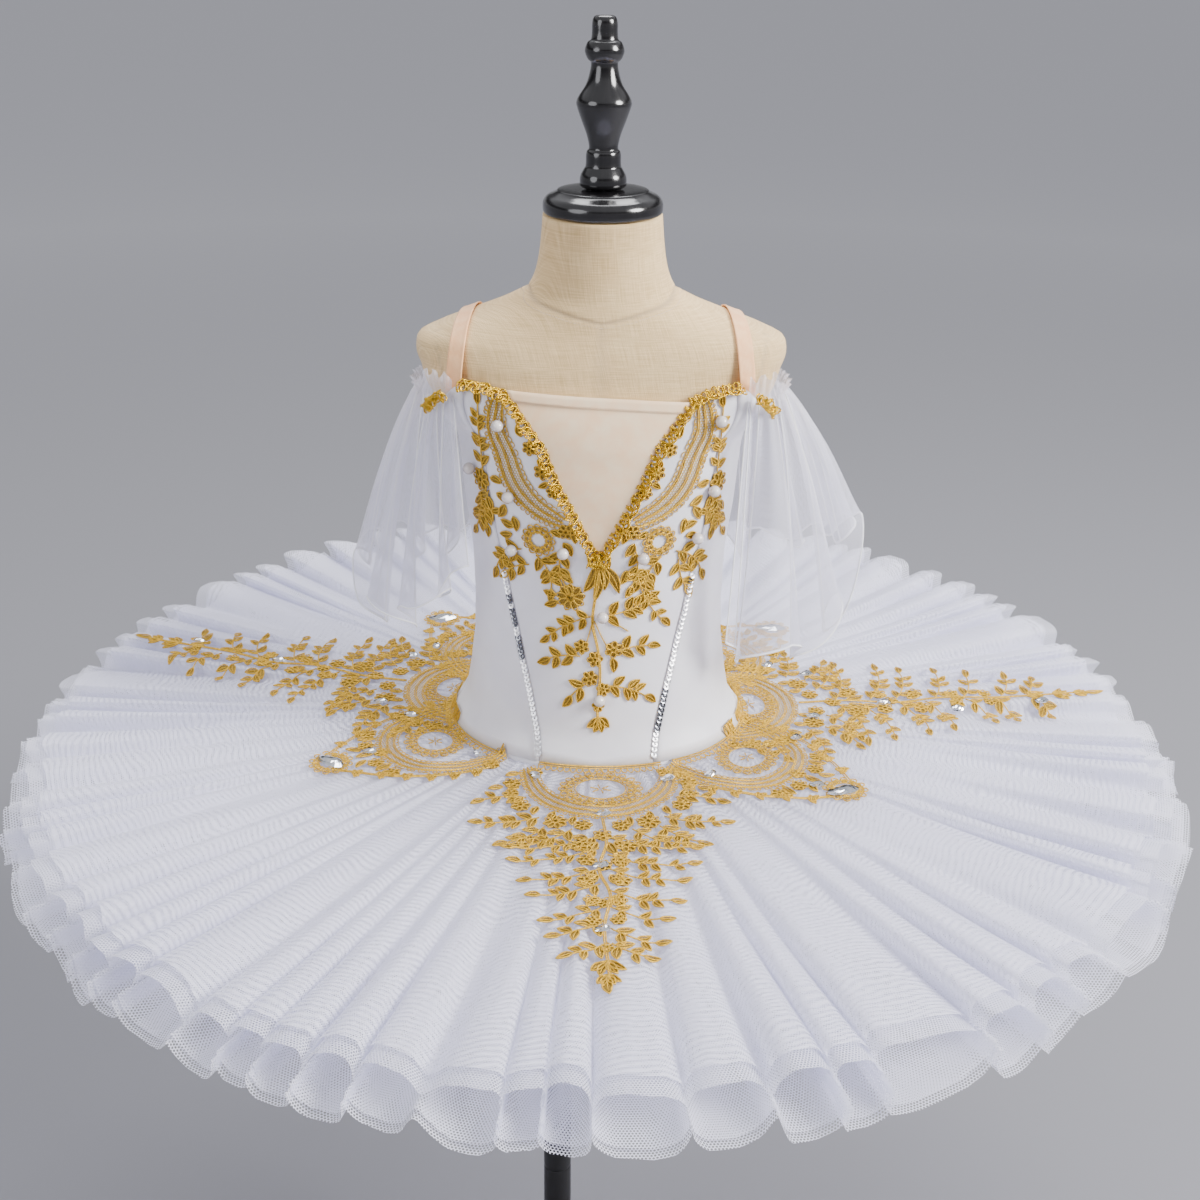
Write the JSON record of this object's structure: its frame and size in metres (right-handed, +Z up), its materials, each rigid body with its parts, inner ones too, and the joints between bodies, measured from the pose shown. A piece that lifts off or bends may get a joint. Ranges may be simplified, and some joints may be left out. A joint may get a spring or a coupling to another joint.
{
  "type": "ballet tutu on a dress form",
  "caption": "Child's classical tutu with a fluted net plate, lace-trimmed satin bodice and drape sleeves, worn on a limbless linen dress form on a pole stand.",
  "frame": {"origin": "centre of the base's underside, on the floor", "axes": "+Z up along the pole, -Y towards the tutu's front, +X towards the wearer's left"},
  "size_m": [0.938, 0.938, 1.253],
  "materials": {
    "linen": "plain woven linen",
    "black_wood": "black gloss lacquer on turned wood",
    "black_steel": "satin black",
    "satin": "white stretch satin",
    "nude_knit": "nude jersey knit",
    "elastic": "nude strap elastic",
    "net": "stiff white hexagonal net",
    "tulle": "soft fine white tulle",
    "gold_lace": "matte gold corded lace",
    "gold_braid": "metallic gold scroll gimp",
    "sequin": "silver cup sequins",
    "pearl": "white imitation pearl",
    "stone": "silver-backed faceted stone"
  },
  "bodies": {
    "root": {"bodice_back_left": "satin", "bodice_back_right": "satin", "bodice_front": "satin", "bodice_lace_drop": "gold_lace", "bodice_lace_left": "gold_lace", "bodice_lace_right": "gold_lace", "bodice_side_front_left": "satin", "bodice_side_front_right": "satin", "braid_left": "gold_braid", "braid_right": "gold_braid", "brief": "satin", "form_finial": "black_wood", "form_neck_cap": "black_wood", "form_torso": "linen", "net_second": "net", "net_third": "net", "net_top": "net", "net_under": "net", "nude_insert": "nude_knit", "plate_lace_drop_back": "gold_lace", "plate_lace_drop_front": "gold_lace", "plate_lace_drop_left": "gold_lace", "plate_lace_drop_right": "gold_lace", "plate_lace_medallion_back_left": "gold_lace", "plate_lace_medallion_back_right": "gold_lace", "plate_lace_medallion_front_left": "gold_lace", "plate_lace_medallion_front_right": "gold_lace", "sequin_trim_left": "sequin", "sequin_trim_right": "sequin", "sleeve_braid_left": "gold_braid", "sleeve_braid_right": "gold_braid", "sleeve_left": "tulle", "sleeve_right": "tulle", "stand_base": "black_steel", "stand_pole": "black_steel", "strap_left": "elastic", "strap_right": "elastic"}
  },
  "joints": []
}
